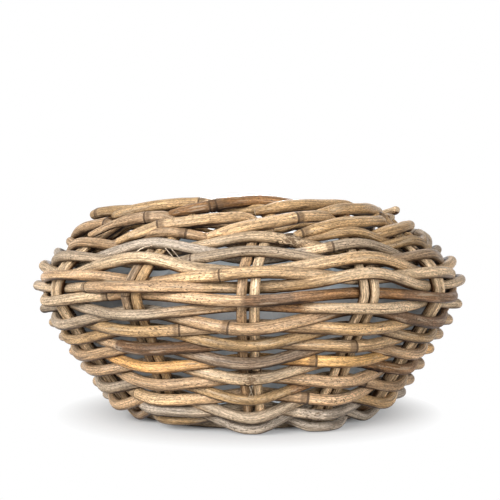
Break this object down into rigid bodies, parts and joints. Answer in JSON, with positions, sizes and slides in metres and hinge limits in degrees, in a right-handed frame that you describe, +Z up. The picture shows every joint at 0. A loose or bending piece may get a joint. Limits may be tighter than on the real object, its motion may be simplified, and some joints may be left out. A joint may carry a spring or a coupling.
{
  "type": "rattan planter",
  "caption": "Low, wide basket woven from whole rattan canes round cane uprights, with a plaited border, a slatted base and a plastic film liner, used to hold a pot plant.",
  "frame": {"origin": "on the floor, under the middle of the base hoop", "axes": "+Z up along the basket's axis; -Y is the side seen in the picture; +X to the right seen from there"},
  "size_m": [0.5418, 0.5384, 0.2545],
  "materials": {
    "rattan_stake": "satin",
    "rattan_weaver": "satin",
    "rattan_base": "matte",
    "liner_film": "gloss"
  },
  "bodies": {
    "root": {"stake_01": "rattan_stake", "stake_02": "rattan_stake", "stake_03": "rattan_stake", "stake_04": "rattan_stake", "stake_05": "rattan_stake", "stake_06": "rattan_stake", "stake_07": "rattan_stake", "stake_08": "rattan_stake", "stake_09": "rattan_stake", "stake_10": "rattan_stake", "stake_11": "rattan_stake", "stake_12": "rattan_stake", "stake_13": "rattan_stake", "bye_stake_01": "rattan_stake", "bye_stake_02": "rattan_stake", "bye_stake_03": "rattan_stake", "bye_stake_04": "rattan_stake", "bye_stake_05": "rattan_stake", "bye_stake_06": "rattan_stake", "bye_stake_07": "rattan_stake", "bye_stake_08": "rattan_stake", "bye_stake_09": "rattan_stake", "bye_stake_10": "rattan_stake", "bye_stake_11": "rattan_stake", "bye_stake_12": "rattan_stake", "bye_stake_13": "rattan_stake", "weaver_01": "rattan_weaver", "weaver_02": "rattan_weaver", "weaver_03": "rattan_weaver", "weaver_04": "rattan_weaver", "weaver_05": "rattan_weaver", "weaver_06": "rattan_weaver", "weaver_07": "rattan_weaver", "weaver_08": "rattan_weaver", "weaver_09": "rattan_weaver", "weaver_10": "rattan_weaver", "weaver_11": "rattan_weaver", "base_hoop": "rattan_base", "base_slat_01": "rattan_base", "base_slat_02": "rattan_base", "base_slat_03": "rattan_base", "base_slat_04": "rattan_base", "base_slat_05": "rattan_base", "base_slat_06": "rattan_base", "base_slat_07": "rattan_base", "base_slat_08": "rattan_base", "base_slat_09": "rattan_base", "liner": "liner_film"}
  },
  "joints": []
}
